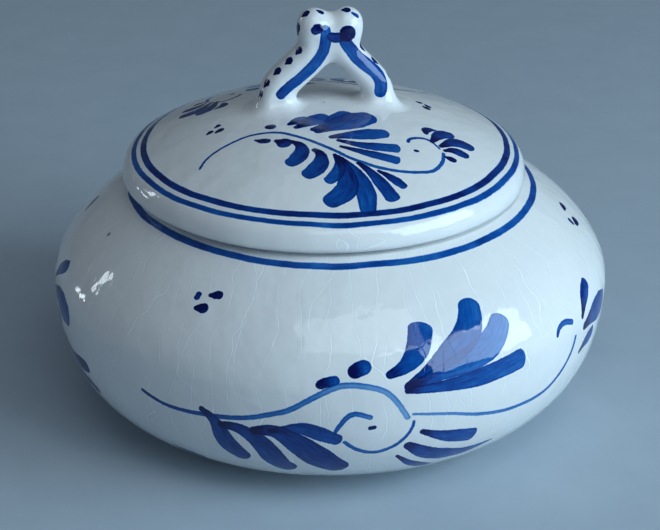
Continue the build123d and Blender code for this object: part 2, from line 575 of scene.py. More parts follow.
def strap_field(side, spread, width):
    near = np.full(gx.shape, FAR)
    px, pz = gx * side, gz
    middle_line = strap_line(spread)
    for a, b in zip(middle_line[:-1], middle_line[1:]):
        d = b - a
        t = np.clip(((px - a[0]) * d[0] + (pz - a[1]) * d[1]) / (d @ d), 0, 1)
        near = np.minimum(near, np.hypot(px - a[0] - t * d[0], pz - a[1] - t * d[1]))
    across = near - (width / 2 - strap_round)
    through = np.abs(gy) - (strap_depth / 2 - strap_round)
    return (np.hypot(np.maximum(across, 0), np.maximum(through, 0))
            + np.minimum(np.maximum(across, through), 0) - strap_round)


def knob_field(side):
    scaled = np.sqrt(((gx - side * knob_apart) / knob_size[0])**2
                     + (gy / knob_size[0])**2 + ((gz - knob_height) / knob_size[2])**2)
    return (scaled - 1) * knob_size[0]


straps = blend_in(strap_field(-1, foot_spread + left_further, strap_width + left_wider),
                  strap_field(1, foot_spread, strap_width), 5.0)
knobs = blend_in(knob_field(-1), knob_field(1), 3.6)
handle_field = blend_in(straps, knobs, 2.6)
world_x = handle_middle[0] + gx * handle_x[0] + gy * handle_y[0]
world_y = handle_middle[1] + gx * handle_x[1] + gy * handle_y[1]
dome_field = np.sqrt((world_x - LEAN)**2 + world_y**2 + (gz - cap_middle)**2) - (cap_radius - 0.04)
melted = blend_in(handle_field, dome_field, 5.0)
melted = np.maximum(melted, handle_field - 5.3)      # only the clay near the straps
melted = np.maximum(melted, -dome_field - 1.6)       # and only as deep as the lid's wall hides
print("field of", melted.size, "samples, lowest", round(float(melted.min()), 2))


# %% Mesh the handle
def mesh_handle():
    grid = openvdb.FloatGrid(4.0)
    grid.copyFromArray(np.ascontiguousarray(melted / VOXEL, np.float32))
    points, quads = grid.convertToQuads(isovalue=0.0)
    local = points * VOXEL + box_low
    world = handle_middle + local[:, :1] * handle_x + local[:, 1:2] * handle_y
    world[:, 2] = local[:, 2]
    mesh = bpy.data.meshes.new("handle_forked")
    mesh.from_pydata((world * MM).tolist(), [], quads.tolist())
    mesh.shade_smooth()
    face_outwards(mesh)
    return new_object("handle_forked", mesh)


handle = mesh_handle()
handle.data.materials.append(blank)
print("handle:", len(handle.data.polygons), "faces; top at",
      round(max(v.co.z for v in handle.data.vertices) / MM, 1))


# %% [markdown]
# ## A map for each skin
#
# Each skin gets a flat map of its own, a square of side 1, to carry its finish. A
# turned pot flattens well: the outside wall unrolls into two strips, the discs stay
# discs. The wheel left each corner's place on the section and round the pot, so the map
# is worked out from that, with most of the room given to the outside, where the paint is.

# %% Map helpers
def corner_faces(mesh):
    """The face of each corner, and how many corners each face has."""
    total = all_of(mesh.polygons, "loop_total", kind=int)
    return np.repeat(np.arange(len(total)), total), total


def wheel_places(mesh, rows):
    """For each corner: its share of a turn, its row, and the first row of its face."""
    around, height = all_of(mesh.attributes["wheel"].data, "vector", 2).T
    row = np.rint(height * (rows - 1)).astype(int)
    face, total = corner_faces(mesh)
    first = np.full(len(total), rows)
    np.minimum.at(first, face, row)
    return around, row, first[face]


def save_map(mesh, u, v):
    mesh.attributes.remove(mesh.attributes["wheel"])
    layer = mesh.uv_layers.new(name="OFBake")
    layer.uv.foreach_set("vector", np.column_stack([u, v]).astype(np.float32).ravel())
    mesh.uv_layers.active = layer


def disc(around, reach, middle, size):
    angle = around * 2 * math.pi
    return middle[0] + size * reach * np.cos(angle), middle[1] + size * reach * np.sin(angle)


def row_at(section, place):
    """The row of a section that lies nearest to a place."""
    return int(np.argmin(np.linalg.norm(section - place, axis=1)))


# %% Map the bowl, the lid and the foot
MARGIN = 0.01
WIDE = 1 - 2 * MARGIN
FRONT_STRIP, BACK_STRIP, STRIP = 0.63, 0.255, 0.36   # where the two strips start, how high
INSIDE_WIDE, INSIDE_HIGH = 0.74, 0.23

around, row, first = wheel_places(bowl.data, len(bowl_section))
run = run_along(bowl_section)
wall_start, lip_end = len(under) - 1, row_at(bowl_section, lip_in[-1])
floor_start = len(bowl_section) - len(inner_floor)
face, total = corner_faces(bowl.data)
front_half = (np.bincount(face, around) / total)[face] > 0.5
wall_share = (run[row] - run[wall_start]) / (run[lip_end] - run[wall_start])
in_share = (run[row] - run[lip_end]) / (run[floor_start] - run[lip_end])
u = np.where(front_half, around * 2 - 1, around * 2) * WIDE + MARGIN
v = np.where(front_half, FRONT_STRIP, BACK_STRIP) + wall_share * STRIP
is_inside = (first >= lip_end) & (first < floor_start)
u = np.where(is_inside, MARGIN + around * INSIDE_WIDE, u)
v = np.where(is_inside, MARGIN + in_share * INSIDE_HIGH, v)
for chosen, radius, spot in ((first < wall_start, foot_radius, (0.88, 0.065)),
                             (first >= floor_start, inside[-1][0], (0.88, 0.185))):
    disc_u, disc_v = disc(around, bowl_section[row, 0] / radius, spot, 0.055)
    u, v = np.where(chosen, disc_u, u), np.where(chosen, disc_v, v)
save_map(bowl.data, u, v)

around, row, first = wheel_places(lid.data, len(lid_section))
run = run_along(lid_section)
edge = row_at(lid_section, low_rim)
top = disc(around, run[row] / run[edge], (0.367, 0.633), 0.36)
low = disc(-around, (run[-1] - run[row]) / (run[-1] - run[edge]), (0.832, 0.168), 0.162)
save_map(lid.data, *np.where(first < edge, top, low))

around, row, _ = wheel_places(foot.data, len(foot_section))
run = run_along(foot_section)
save_map(foot.data, MARGIN + WIDE * around, 0.1 + 0.2 * run[row] / run[-1])

bpy.context.view_layer.objects.active = handle
handle.select_set(True)
bpy.ops.object.mode_set(mode="EDIT")
bpy.ops.mesh.select_all(action="SELECT")
bpy.ops.uv.smart_project(angle_limit=math.radians(62), island_margin=0.012)
bpy.ops.object.mode_set(mode="OBJECT")
handle.data.uv_layers[0].name = "OFBake"
handle.select_set(False)
print("maps:", [(o.name, o.data.uv_layers[0].name) for o in (bowl, lid, foot, handle)])


# %% [markdown]
# ## Brushes
#
# The decoration is brushwork: one loaded brush, pressed and lifted. Each stroke is a
# short list of places that the brush passes, a kind, a width in millimetres and how much
# blue it carries at its start and at its end. The kinds say how the width swells: a
# leaf starts at the tip of the brush and is pressed towards its end, a comma is pressed
# first and then drawn out to a point.

# %% The kinds of stroke
# kind: width shares along the stroke, how blunt its end is, how strongly paint pools
BRUSH = {
    "line": ([(0, 0.62), (0.3, 0.85), (0.7, 1.0), (1, 0.92)], 1.0, 0.04),
    "leaf": ([(0, 0.30), (0.2, 0.50), (0.5, 0.86), (0.75, 1.0), (1, 0.80)], 1.3, 0.28),
    "flat": ([(0, 0.30), (0.25, 0.52), (0.6, 0.88), (1, 0.96)], 1.7, 0.26),
    "comma": ([(0, 0.50), (0.2, 0.86), (0.45, 1.0), (0.75, 0.66), (1, 0.10)], 1.0, 0.22),
    "dab": ([(0, 0.85), (0.5, 1.0), (1, 0.92)], 1.0, 0.10),
}

# Places on the bowl: degrees round from the middle of the spray, millimetres of skin
# above the widest line.
BOWL_SPRAY = [
    ("line", 1.6, (0.64, 0.22), [(-39.5, -7.5), (-37, -8.5), (-33.5, -9.5), (-29, -9.5),
     (-24.5, -9), (-20, -8.5), (-15.5, -7.5), (-10.5, -5.5), (-7.5, -4), (-4.5, -1.5),
     (-2, 0.5), (1, 2.5), (3.5, 3), (6.5, 2.5), (10, 1), (12, -1.5), (13.5, -4.5), (15, -8)]),
    ("line", 1.2, (0.50, 0.44), [(16, -8.5), (16, -10), (15, -13), (13, -16), (10, -18),
     (7.5, -18), (5, -16.5), (2.5, -13.5)]),
    ("line", 1.5, (0.52, 0.40), [(0.5, -11.5), (2, -8), (3.5, -5.5), (5, -5), (8, -6.5)]),
    ("dab", 1.4, (0.90, 0.90), [(7.2, -9.6), (8.8, -9.3)]),
    ("leaf", 6.0, (0.66, 0.70), [(-25.5, -7), (-22.5, -10.5), (-20.5, -17.5), (-17, -23)]),
    ("leaf", 6.6, (0.74, 0.70), [(-22, -11), (-17.5, -11.5), (-13.5, -15.5), (-10.5, -23),
     (-7.5, -26.5)]),
    ("leaf", 8.2, (0.74, 0.76), [(-15.5, -11.5), (-10.5, -11), (-6, -15), (-1, -21.5),
     (3, -26)]),
    ("leaf", 4.6, (0.70, 0.68), [(-12, -11), (-5.5, -9.5), (-2, -11), (2.2, -13.5)]),
    ("dab", 2.7, (0.96, 0.60), [(-2.6, 2.8), (-0.8, 3.7), (1.8, 4.4)]),
    ("dab", 3.9, (0.96, 0.56), [(3.5, 5.4), (5.3, 6.8), (7.8, 7.7)]),
    ("flat", 6.6, (0.66, 0.60), [(10.5, 4.6), (14.5, 6.8), (17, 10), (18.2, 13.5), (19, 17)]),
    ("leaf", 7.4, (0.72, 0.56), [(14, 1), (19, 4.5), (23.5, 8), (28, 11.5), (30.5, 16.5),
     (31, 20.5)]),
    ("leaf", 7.2, (0.66, 0.46), [(15, 1.5), (22, 4), (29, 6), (34, 9), (37.5, 14)]),
    ("flat", 5.7, (0.72, 0.56), [(14, 0.4), (20.5, 0.1), (30, 0.2), (40.5, 1.6)]),
    ("line", 1.2, (0.22, 0.52), [(15.5, -6.5), (23.5, -8.5), (30, -11), (38, -13), (47, -13),
     (52.5, -10), (56, -5.5), (57.5, -1)]),
    ("line", 1.6, (0.60, 0.46), [(50.3, 2), (51, 4), (53.5, 4.7), (56.5, 3.2)]),
    ("leaf", 4.2, (0.86, 0.70), [(60.2, 2), (63, 6.3), (67.2, 9.6)]),
    ("leaf", 7.8, (0.76, 0.62), [(60.8, -1), (67, 0), (76, -1.2)]),
    ("leaf", 4.2, (0.74, 0.64), [(60, -8), (63, -6.3), (68, -5.5)]),
    ("flat", 4.9, (0.76, 0.58), [(17.5, -12.3), (23, -15.6), (30.5, -18.3)]),
    ("comma", 5.3, (0.72, 0.60), [(14.8, -16.2), (21, -22.2), (29, -25.5), (37, -24.5)]),
    ("leaf", 3.1, (0.76, 0.64), [(13.4, -20.6), (17.8, -26.6), (23, -31)]),
    ("dab", 1.8, (0.62, 0.70), [(-30.6, 20.3), (-30.2, 22.5)]),
    ("leaf", 2.5, (0.90, 0.80), [(-28, 22.2), (-24.6, 23)]),
    ("leaf", 2.9, (0.92, 0.84), [(-30.2, 18.2), (-26.8, 18.8)]),
]

# A few more leaves, which only the left side has.
BOWL_LEFT = [
    ("leaf", 3.2, (0.84, 0.80), [(-73, -8), (-69.5, -12.5)]),
    ("leaf", 4.6, (0.84, 0.80), [(-70.5, -10.5), (-65.5, -12.8), (-58, -11.5)]),
    ("leaf", 3.4, (0.80, 0.80), [(-70, -14), (-64, -17), (-57, -19)]),
    ("leaf", 2.6, (0.80, 0.74), [(-91.5, 17.8), (-94.5, 22.5)]),
    ("leaf", 2.6, (0.80, 0.76), [(-37, -27.5), (-29, -30.5)]),
]

# Places on the lid: millimetres right and back from its middle, seen from above.
LID_SPRAY = [
    ("leaf", 1.9, (0.88, 0.84), [(-31, -10.8), (-29.3, -9.3)]),
    ("leaf", 1.8, (0.88, 0.84), [(-29, -8.1), (-27.5, -6.7)]),
    ("leaf", 2.1, (0.90, 0.84), [(-28.8, -11.1), (-26.5, -9.5)]),
    ("dab", 2.6, (0.90, 0.88), [(-15.2, -13.2), (-13.0, -13.7)]),
    ("line", 1.1, (0.60, 0.50), [(-32, -26.5), (-31, -24), (-29.5, -22), (-27, -20),
     (-23.5, -18), (-19.5, -16.5), (-15.5, -16.3), (-11.5, -17), (-8, -19), (-4, -21.5),
     (-1.5, -23.3), (2.5, -26), (6, -28.5), (10, -30.2), (13.5, -31.3), (18.5, -31.5),
     (22.5, -30.8), (26.5, -29.2), (28.5, -27), (30, -23.5), (30.3, -19.6)]),
    ("line", 1.0, (0.50, 0.66), [(29.5, -18.5), (27.5, -16), (25.5, -15.2), (23, -16),
     (21.5, -17.3), (21.1, -18.9)]),
    ("dab", 1.2, (0.92, 0.92), [(22.7, -21.9), (23.9, -21.7)]),
    ("comma", 2.6, (0.76, 0.80), [(26, -12.8), (26.3, -10.1), (29, -9)]),
    ("leaf", 4.0, (0.84, 0.76), [(27.2, -16.4), (30, -10.8), (33.6, -9.2)]),
    ("leaf", 4.4, (0.84, 0.76), [(29.3, -17.4), (33.8, -12.8), (38.7, -13)]),
    ("leaf", 3.6, (0.84, 0.78), [(30.3, -18.8), (33.3, -17.2), (37, -18)]),
    ("leaf", 2.4, (0.86, 0.78), [(30.3, -21.2), (33.6, -21.8)]),
    ("leaf", 2.4, (0.92, 0.80), [(-18.2, -19), (-16, -20), (-13.9, -20.4)]),
    ("leaf", 4.4, (0.88, 0.66), [(-13, -20.4), (-10.6, -22), (-10, -24)]),
    ("leaf", 4.6, (0.80, 0.66), [(-9, -21.3), (-6.5, -23.5), (-6, -26.5), (-7.5, -29.5),
     (-9.8, -31)]),
    ("leaf", 5.0, (0.80, 0.66), [(-3.2, -25.3), (-1.2, -27.5), (-1.2, -31), (-3, -34),
     (-5.5, -35.7)]),
    ("leaf", 3.8, (0.76, 0.60), [(2.2, -27.3), (3.6, -31), (3, -34.7), (0.3, -38)]),
    ("leaf", 6.0, (0.76, 0.68), [(2.6, -27.8), (5.2, -33.5), (5.3, -40), (0.2, -45)]),
    ("leaf", 5.2, (0.72, 0.62), [(3.5, -28.5), (7.6, -34), (10, -40), (10.7, -47.2)]),
    ("flat", 4.2, (0.80, 0.68), [(8, -30), (11.5, -33.5), (14.5, -37.6), (17.4, -42)]),
    ("leaf", 2.9, (0.84, 0.72), [(13, -32.4), (16, -34), (20.2, -37)]),
    ("leaf", 4.4, (0.84, 0.58), [(-9.8, -13.4), (-7, -11.6), (-4.2, -10.4)]),
    ("leaf", 5.6, (0.86, 0.60), [(-8, -15.4), (-4, -12.4), (0.6, -8.7)]),
    ("leaf", 6.4, (0.66, 0.60), [(-3.8, -16.8), (1.5, -13.6), (6.2, -6.2)]),
    ("leaf", 8.6, (0.70, 0.66), [(-2.8, -17.8), (5, -12.5), (12.8, -7.6)]),
    ("leaf", 5.2, (0.76, 0.58), [(0.8, -20.2), (8.8, -18.2), (16.4, -16)]),
    ("flat", 3.9, (0.84, 0.56), [(2.8, -21.3), (10, -23), (19.2, -22.4)]),
    ("flat", 3.4, (0.86, 0.58), [(3.5, -24), (11, -26.2), (19, -27.6)]),
]

# The far side of the lid has three leaves of its own by the handle.
LID_BACK = [
    ("leaf", 1.9, (0.88, 0.84), [(24.2, 9.6), (26.0, 8.6)]),
    ("leaf", 1.8, (0.88, 0.84), [(26.6, 8.6), (28.0, 6.4)]),
    ("leaf", 2.0, (0.90, 0.84), [(25.9, 6.6), (27.8, 4.4)]),
]

# Places on the handle: millimetres right of its middle and above the table, and then the
# side that the brush comes from, degrees round from the front and degrees up.
HANDLE_STROKES = [
    ("dab", 3.1, (0.62, 0.56), 0, 25, [(-14.4, 86.7), (-11.9, 89.2), (-8.2, 92), (-4.9, 95.1),
     (-2.7, 98.2), (-1.8, 101), (-1.7, 103.6), (-2, 106)]),
    ("dab", 2.7, (0.76, 0.98), 0, 25, [(-5.2, 104), (-3.8, 105), (-2.4, 104.8)]),
    ("dab", 2.8, (0.66, 0.72), 0, 25, [(-1.4, 103.2), (1, 102.4), (3.4, 102.8)]),
    ("dab", 4.7, (0.92, 0.96), 0, 25, [(3.6, 102.7), (4.2, 103.7)]),
    ("dab", 3.7, (0.56, 0.64), 0, 25, [(2.6, 102.2), (4.6, 99.5), (6.8, 96.7), (9.6, 94.4),
     (12, 92.2), (13, 89.5), (12.6, 85.4)]),
    ("leaf", 2.4, (0.90, 0.86), -40, 20, [(-7.2, 97.6), (-5.8, 99.6)]),
    ("leaf", 2.4, (0.88, 0.86), -52, 14, [(-8.8, 95.2), (-7.0, 97.0)]),
    ("leaf", 2.4, (0.88, 0.86), -56, 14, [(-11.4, 92.4), (-9.6, 94.2)]),
    ("leaf", 2.4, (0.88, 0.86), -58, 12, [(-14.2, 89.2), (-12.8, 91.4)]),
    ("leaf", 2.0, (0.88, 0.86), -60, 12, [(-15.6, 85.6), (-15.0, 88.4)]),
    ("leaf", 2.2, (0.86, 0.84), 62, 20, [(5.6, 97.2), (4.6, 100.2)]),
    ("leaf", 2.2, (0.86, 0.84), 64, 20, [(9.2, 93.4), (7.4, 95.6)]),
    ("leaf", 2.2, (0.86, 0.84), 78, 12, [(12.6, 89.2), (11.0, 91.6)]),
    ("leaf", 2.2, (0.86, 0.84), 78, 12, [(13.4, 85.0), (13.2, 87.6)]),
    ("leaf", 2.4, (0.90, 0.86), -12, 30, [(-7.4, 107.8), (-5.4, 109.4)]),
    ("leaf", 2.3, (0.80, 0.74), -72, 14, [(-4.4, 102.4), (-4.4, 106.0)]),
    ("leaf", 1.8, (0.74, 0.66), -8, 30, [(-3.6, 109.6), (-1.6, 108.4)]),
    ("leaf", 2.3, (0.92, 0.84), -8, 30, [(2.9, 109.2), (5.4, 109.2)]),
    ("line", 1.2, (0.70, 0.56), 0, 30, [(5.2, 109.4), (7.2, 108.0)]),
    ("dab", 2.5, (0.60, 0.62), 180, 25, [(13.2, 86.9), (11, 89.3), (8, 92), (4.8, 95.2),
     (2.6, 98.3), (1.6, 101.2), (1.4, 104.2)]),
    ("dab", 2.0, (0.66, 0.66), 180, 25, [(1.2, 103.6), (-1, 102.8), (-3, 103)]),
    ("dab", 3.5, (0.90, 0.90), 180, 25, [(-4.4, 103.6), (-4.7, 104.1)]),
    ("dab", 2.7, (0.56, 0.64), 180, 25, [(-3, 102.2), (-4.6, 99.5), (-6.8, 96.7),
     (-9.6, 94.4), (-12, 92.2), (-13, 89.5), (-12.8, 87)]),
]
print(len(BOWL_SPRAY), "strokes in a bowl spray,", len(LID_SPRAY), "in a lid spray")


# %% [markdown]
# ## Laying the strokes on the clay
#
# A stroke's few places are joined by a smooth curve, and every point of that curve is
# put on the skin: on the bowl by its section, on the lid by its cap, on the handle by a
# ray that looks for the clay. What comes out is a line in space with a half width and a
# way that the skin faces, which is all that the paint needs to know.

# %% Stroke helpers
STEP = 0.7               # millimetres between the points of a stroke's line
RAY_START = 40.0         # how far off the ray starts that looks for the handle
STRAP_SET_BACK = 2.0     # aims the rays at the clay where the straps stand


def smooth_curve(points, per_span=10):
    """A curve through given places (Catmull and Rom's)."""
    p = np.array(points, float)
    p = np.vstack([2 * p[0] - p[1], p, 2 * p[-1] - p[-2]])
    t = np.linspace(0, 1, per_span, endpoint=False)[:, None]
    spans = [0.5 * (2 * p[i] + (p[i+1] - p[i-1]) * t
                    + (2 * p[i-1] - 5 * p[i] + 4 * p[i+1] - p[i+2]) * t**2
                    + (3 * p[i] - p[i-1] - 3 * p[i+1] + p[i+2]) * t**3)
             for i in range(1, len(p) - 2)]
    return np.vstack(spans + [p[-2:-1]])


def stroke(kind, width, tones, path, facing):
    """A finished stroke from its path and the ways that the skin faces along it."""
    shares, blunt, pool = BRUSH[kind]
    run = run_along(path)
    # the round ends reach past the line, so the line starts late and stops early
    start = min(width / 2 * shares[0][1], run[-1] * 0.3)
    end = min(width / 2 * shares[-1][1] / blunt, run[-1] * 0.4)
    at = np.linspace(start, run[-1] - end, max(3, int((run[-1] - start - end) / STEP) + 2))
    line = np.column_stack([np.interp(at, run, path[:, i]) for i in range(3)])
    up = np.column_stack([np.interp(at, run, facing[:, i]) for i in range(3)])
    share = (at - at[0]) / (at[-1] - at[0])
    half = width / 2 * np.interp(share, *zip(*shares))
    return dict(line=line, up=up / np.linalg.norm(up, axis=1)[:, None], half=half,
                tone=np.interp(share, (0, 1), tones), blunt=blunt, pool=pool)


belly_run = run_along(outside)
widest_at = belly_run[int(np.argmax(outside[:, 0]))]


def on_bowl(places, turned):
    degrees, up = places.T
    angle = np.radians(degrees + turned)
    at = widest_at + up
    r, z = (np.interp(at, belly_run, outside[:, i]) for i in (0, 1))
    dr, dz = (np.interp(at + 0.5, belly_run, outside[:, i])
              - np.interp(at - 0.5, belly_run, outside[:, i]) for i in (0, 1))
    side, front = np.sin(angle), -np.cos(angle)
    return (np.column_stack([r * side, r * front, z]),
            np.column_stack([dz * side, dz * front, -dr]))


LID_MIDDLE = -1.2


def on_lid(places, turned):
    angle = math.radians(turned)
    x = places[:, 0] * math.cos(angle) - places[:, 1] * math.sin(angle) + LID_MIDDLE
    y = places[:, 0] * math.sin(angle) + places[:, 1] * math.cos(angle)
    z = dome_height(x - LEAN, y)
    return np.column_stack([x, y, z]), np.column_stack([x - LEAN, y, z - cap_middle])


handle_clay = BVHTree.FromPolygons([v.co / MM for v in handle.data.vertices],
                                   [tuple(p.vertices) for p in handle.data.polygons])


def on_handle(places, compass, tilt):
    """Looks for the clay along a ray from the side that the brush comes from."""
    c, t = math.radians(compass), math.radians(tilt)
    away = (handle_x * math.sin(c) - handle_y * math.cos(c)) * math.cos(t)
    away = Vector(away) + Vector((0, 0, math.sin(t)))
    from_front_or_back = abs(math.sin(c)) < 0.1
    depth = STRAP_SET_BACK * math.cos(c) if from_front_or_back else 0.0
    points, facing = [], []
    for x, z in places:
        target = Vector(handle_middle + handle_x * x - handle_y * depth) + Vector((0, 0, z))
        hit, normal, _, _ = handle_clay.ray_cast(target + away * RAY_START, -away)
        if hit is not None:
            points.append(hit)
            facing.append(normal)
    return np.array(points), np.array(facing)


def spray(strokes, put, turned, shaky, seed):
    """One spray, painted again by the same hand: a copy never falls quite the same."""
    hand = np.random.default_rng(seed)
    laid = []
    for kind, width, tones, places in strokes:
        moved = np.array(places, float) + hand.normal(0, shaky, 2)
        swell = 1 + hand.normal(0, 0.06 * (shaky > 0))
        path, facing = put(smooth_curve(moved), turned)
        laid.append(stroke(kind, width * swell, tones, path, facing))
    return laid


bowl_strokes, lid_strokes, handle_strokes = [], [], []
for strokes, turned, shaky, seed in ((BOWL_SPRAY, 0, 0.0, 1), (BOWL_SPRAY, 113, 0.4, 2),
                                     (BOWL_SPRAY, -140.5, 0.4, 3), (BOWL_LEFT, 0, 0.0, 6)):
    bowl_strokes += spray(strokes, on_bowl, turned, shaky, seed)
far_side = LID_SPRAY[3:21] + LID_SPRAY[25:]          # without the leaves by the handle
for strokes, turned, shaky, seed in ((LID_SPRAY, 0, 0.0, 4), (LID_BACK, 0, 0.0, 5),
                                     (far_side, 187, 0.3, 7)):
    lid_strokes += spray(strokes, on_lid, turned, shaky, seed)
for kind, width, tones, compass, tilt, places in HANDLE_STROKES:
    path, facing = on_handle(smooth_curve(places), compass, tilt)
    if len(path) > 4:
        handle_strokes.append(stroke(kind, width, tones, path, facing))
print(len(bowl_strokes), "on the bowl,", len(lid_strokes), "on the lid,",
      len(handle_strokes), "on the handle")


# %% [markdown]
# ## Paint carried by the faces
#
# Each face takes up to five strokes that pass near it and writes, at each of its
# corners, how far the corner is to the side of the stroke, how far beyond its ends, and
# how wide the stroke is there. Those three numbers are so smooth that a face a
# millimetre across carries a brush edge as crisp as the real one: the material only has
# to ask where the distance passes the half width.

# %% Write the strokes to the face corners
LAYERS = 5
REACH = 1.9              # how near a stroke must pass, in millimetres
SAME_SIDE = 0.25         # how much a face and a stroke must look the same way
FINE = 1e4               # nearness is sorted in whole numbers this fine
NOWHERE = 9.0            # a distance at which no brush leaves paint


def near_stroke(s, corners, index):
    """Side and end distance, half width, run and tone at corners, near a given sample."""
    line, half, tone = s["line"], s["half"], s["tone"]
    run = run_along(line)
    last = len(line) - 2
    window = np.clip(index[:, None] + np.arange(-4, 4), 0, last)
    a, b = line[window], line[window + 1]
    d = b - a
    long = np.linalg.norm(d, axis=2)
    t = np.einsum("ijk,ijk->ij", corners[:, None] - a, d) / long**2
    off = corners[:, None] - (a + d * np.clip(t, 0, 1)[..., None])
    best = np.argmin(np.linalg.norm(off, axis=2), axis=1)
    pick = np.arange(len(best))
    segment, t, long = window[pick, best], t[pick, best], long[pick, best]
    along = d[pick, best] / long[:, None]
    up = s["up"][segment]
    side = np.cross(up, along)
    before = (segment == 0) & (t < 0)
    after = (segment == last) & (t > 1)
    off = corners - (a[pick, best] + d[pick, best] * np.clip(t, 0, 1)[:, None])
    off -= up * np.einsum("ij,ij->i", off, up)[:, None]
    across = np.einsum("ij,ij->i", off, side)
    inner = ~(before | after)
    across = np.where(inner, np.sign(across) * np.linalg.norm(off, axis=1), across)
    at = run[segment] + np.clip(t, 0, 1) * long
    beyond = np.where(before, -t * long, np.where(after, (t - 1) * long * s["blunt"],
                                                  -np.minimum(at, run[-1] - at)))
    t = np.clip(t, 0, 1)
    width = half[segment] * (1 - t) + half[segment + 1] * t
    blue = tone[segment] * (1 - t) + tone[segment + 1] * t
    return (np.column_stack([across, beyond, width]),
            np.column_stack([at, blue, np.full(len(at), s["pool"])]))


def paint(piece, strokes):
    mesh = piece.data
    corner = (all_of(mesh.vertices, "co", 3) / MM)[all_of(mesh.loops, "vertex_index", kind=int)]
    normal = all_of(mesh.polygons, "normal", 3)
    face, total = corner_faces(mesh)
    start = np.r_[0, np.cumsum(total)[:-1]]
    middle = np.column_stack([np.bincount(face, corner[:, i]) for i in range(3)])
    middle = middle / total[:, None]
    found = []
    for number, s in enumerate(strokes):
        reach = s["half"].max() + REACH
        low, high = s["line"].min(0) - reach, s["line"].max(0) + reach
        some = np.flatnonzero(((middle > low) & (middle < high)).all(1))
        if not len(some):
            continue
        gap = np.linalg.norm(middle[some, None] - s["line"][None], axis=2)
        nearest = gap.argmin(1)
        score = gap[np.arange(len(some)), nearest] - s["half"][nearest]
        same_side = np.einsum("ij,ij->i", normal[some], s["up"][nearest]) > SAME_SIDE
        ok = (score < REACH) & same_side
        found.append(np.column_stack([some[ok], np.full(ok.sum(), number), nearest[ok],
                                      score[ok] * FINE]).astype(np.int64))
    found = np.vstack(found)
    found = found[np.lexsort((found[:, 3], found[:, 0]))]
    first = np.r_[True, found[1:, 0] != found[:-1, 0]]
    rank = np.arange(len(found)) - np.maximum.accumulate(np.where(first, np.arange(len(found)), 0))
    found, rank = found[rank < LAYERS], rank[rank < LAYERS]
    shape = np.full((LAYERS, len(corner), 3), NOWHERE, np.float32)
    shape[:, :, 2] = 0.0
    charge = np.zeros((LAYERS, len(corner), 3), np.float32)
    for number, s in enumerate(strokes):
        mine = found[:, 1] == number
        faces, nearest, layer = found[mine, 0], found[mine, 2], rank[mine]
        count = total[faces]
        if not len(faces):
            continue
        loops = np.concatenate([np.arange(a, a + n) for a, n in zip(start[faces], count)])
        place = np.repeat(layer, count), loops
        shape[place], charge[place] = near_stroke(s, corner[loops], np.repeat(nearest, count))
    for i in range(LAYERS):
        for name, values in (("shape", shape), ("charge", charge)):
            mesh.attributes.new(f"{name}_{i}", "FLOAT_VECTOR", "CORNER").data.foreach_set(
                "vector", values[i].ravel())
    print(piece.name, "painted on", len(np.unique(found[:, 0])), "faces")


paint(bowl, bowl_strokes)
paint(lid, lid_strokes)
paint(handle, handle_strokes + lid_strokes)


# %% [markdown]
# ## The painted glaze
#
# Cobalt under a clear coat behaves like dye in water: where the brush left more, the
# blue is deeper, and it turns from pale blue through cobalt to nearly black. So the
# strokes only add up an amount of blue, and one colour ramp turns that amount into the
# share of light that comes back. The bands were laid on the turning wheel with a full
# brush: circles with a small wander, worked out from the distance to the middle.

# %% The glaze's parts
BLUES = [(0.0, (1.0, 1.0, 1.0)), (0.10, (0.60, 0.76, 0.93)), (0.24, (0.20, 0.42, 0.76)),
         (0.42, (0.022, 0.185, 0.56)), (0.58, (0.001, 0.088, 0.40)), (0.74, (0.0, 0.042, 0.26)),
         (0.88, (0.0, 0.015, 0.15)), (1.0, (0.0, 0.004, 0.085))]


def hypotenuse(a, b):
    return (a * a + b * b).math("SQRT")


def brush_layer(b, number, wander):
    """How much blue one stroke leaves at a point."""
    (across, beyond, half), (along, blue, pool) = (
        b.node("ShaderNodeAttribute", dict(attribute_name=f"{name}_{number}"), out=1).parts()
        for name in ("shape", "charge"))
    gap = hypotenuse(across, beyond.most(0.0)) - half + wander
    cover = gap.step(-0.14, 0.12, 1.0, 0.0)
    hairs = b.noise(b.xyz(across * 1.7, along * 0.22, blue * 9.0), 1.0, 2.0, 0.6)
    pooled = along.step(0.3, 4.6, 1.0, 0.0) * pool
    rim = gap.step(-0.75, -0.1) * 0.10
    side = (across / half.most(0.4)) * 0.05
    amount = blue * (0.66 + 0.62 * hairs) + pooled + rim + side
    return cover * amount.most(0.0)


def bands_layer(b, place, rings, middle, above):
    """The circles painted on the wheel."""
    x, y, z = place.parts()
    away = hypotenuse(x - middle, y)
    slow = b.noise(place, 0.055, 1.0)
    quick = b.noise(place, 0.6, 2.0)
    total = 0.0
    for radius, width, blue in rings:
        off = (away - radius + (slow - 0.5) * 1.1).math("ABSOLUTE")
        gap = off - width / 2 + (quick - 0.5) * 0.22
        tone = blue + (b.noise(place, 0.14 + 0.0002 * radius, 2.0) - 0.5) * 0.5
        total = gap.step(-0.14, 0.13, 1.0, 0.0) * tone + total
    return total * (z > above)


def net_cracks(b, place):
    """A loose net, as on the lid: the edges between scattered cells, bent a little."""
    cell = 1 / 0.12
    bend = b.node("ShaderNodeTexNoise", {}, {"Vector": place, "Scale": 0.09, "Detail": 2.0}, 1)
    bent = place.vector("ADD", bend.vector("SUBTRACT", (0.5, 0.5, 0.5)).vector(
        "MULTIPLY", (3.4, 3.4, 3.4)))
    edge = cell * b.node("ShaderNodeTexVoronoi", dict(feature="DISTANCE_TO_EDGE"),
                         {"Vector": bent, "Scale": 1 / cell})
    there = b.noise(place, 0.045, 1.0).step(0.42, 0.56)
    # the line, later painted lighter as a highlight, and a band beside it, later painted darker as
    # shade
    return edge.step(0.02, 0.11, 1.0, 0.0) * there, edge.step(0.1, 0.4, 1.0, 0.0) * there


